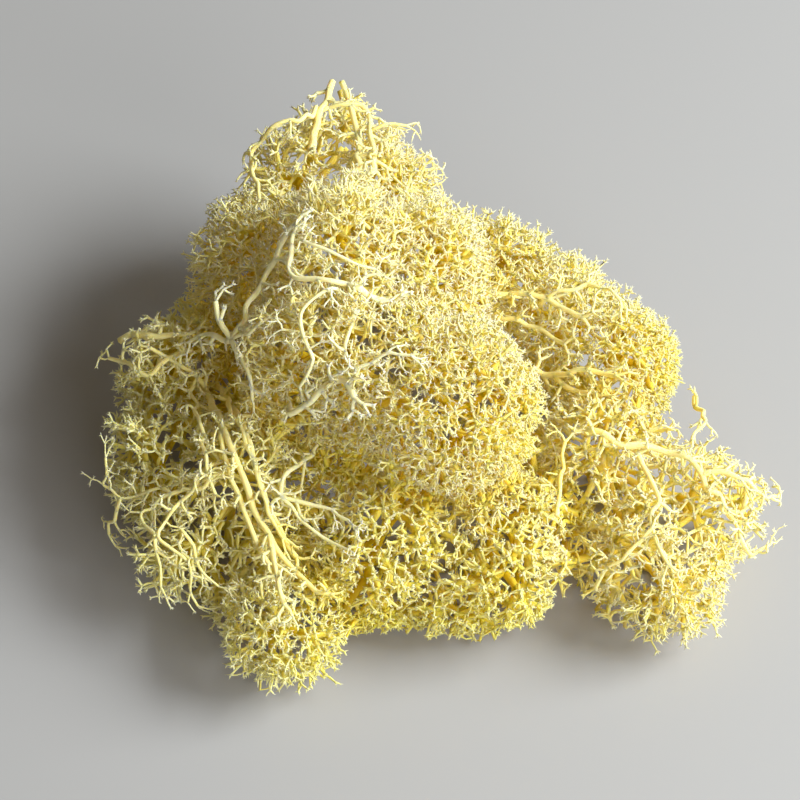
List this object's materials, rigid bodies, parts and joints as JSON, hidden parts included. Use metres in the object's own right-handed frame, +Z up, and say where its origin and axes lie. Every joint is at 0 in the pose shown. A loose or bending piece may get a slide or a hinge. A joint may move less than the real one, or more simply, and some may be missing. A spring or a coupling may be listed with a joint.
{
  "type": "reindeer lichen clump",
  "caption": "Loose clump of pale yellow reindeer lichen tufts hooked into each other, with dense twiggy heads, bare golden stalks and flat resting points underneath.",
  "frame": {"origin": "middle of the clump's box, on the surface that it rests on", "axes": "+X across the clump, along its longest side; +Y from the front tufts to the top tuft's root end; +Z up"},
  "size_m": [0.1016, 0.0962, 0.047],
  "materials": {
    "stalk": "smooth dry stalk, golden",
    "lichen_lemon": "dry matt twigs, clear lemon yellow",
    "lichen_olive": "dry matt twigs, greyer yellow",
    "loose_branch": "smooth dry branch, whitish green",
    "lichen_gold": "dry matt twigs, warmer yellow",
    "lichen_pale": "dry matt twigs, pale cream yellow at the tips"
  },
  "bodies": {
    "root": {"corner_tuft_inner_crown": "lichen_gold", "corner_tuft_low_bough": "stalk", "corner_tuft_low_crown": "lichen_gold", "corner_tuft_middle_crown": "lichen_gold", "corner_tuft_outer_bough": "stalk", "corner_tuft_outer_crown": "lichen_gold", "corner_tuft_stalk": "stalk", "front_tuft_left_crown": "lichen_lemon", "front_tuft_right_crown": "lichen_lemon", "left_tuft_fore_crown": "lichen_olive", "left_tuft_low_bough": "stalk", "left_tuft_low_crown": "lichen_olive", "left_tuft_middle_crown": "lichen_olive", "left_tuft_outer_bough": "stalk", "left_tuft_outer_crown": "lichen_olive", "left_tuft_rear_bough": "stalk", "left_tuft_rear_crown": "lichen_olive", "left_tuft_stalk": "stalk", "long_branch": "loose_branch", "loose_branch_lower": "loose_branch", "loose_branch_upper": "loose_branch", "rear_tuft_cut_stub": "stalk", "rear_tuft_inner_crown": "lichen_olive", "right_tuft_head_crown": "lichen_gold", "right_tuft_inner_crown": "lichen_gold", "right_tuft_lower_stalk": "stalk", "right_tuft_middle_crown": "lichen_gold", "right_tuft_upper_stalk": "stalk", "top_tuft_front_crown": "lichen_pale", "top_tuft_head_crown": "lichen_pale", "top_tuft_left_crown": "lichen_pale", "top_tuft_left_stalk": "stalk", "top_tuft_middle_crown": "lichen_pale", "top_tuft_rear_left_crown": "lichen_pale", "top_tuft_rear_right_crown": "lichen_pale", "top_tuft_right_crown": "lichen_pale", "top_tuft_right_stalk": "stalk", "top_tuft_root_end_crown": "lichen_pale"}
  },
  "joints": []
}
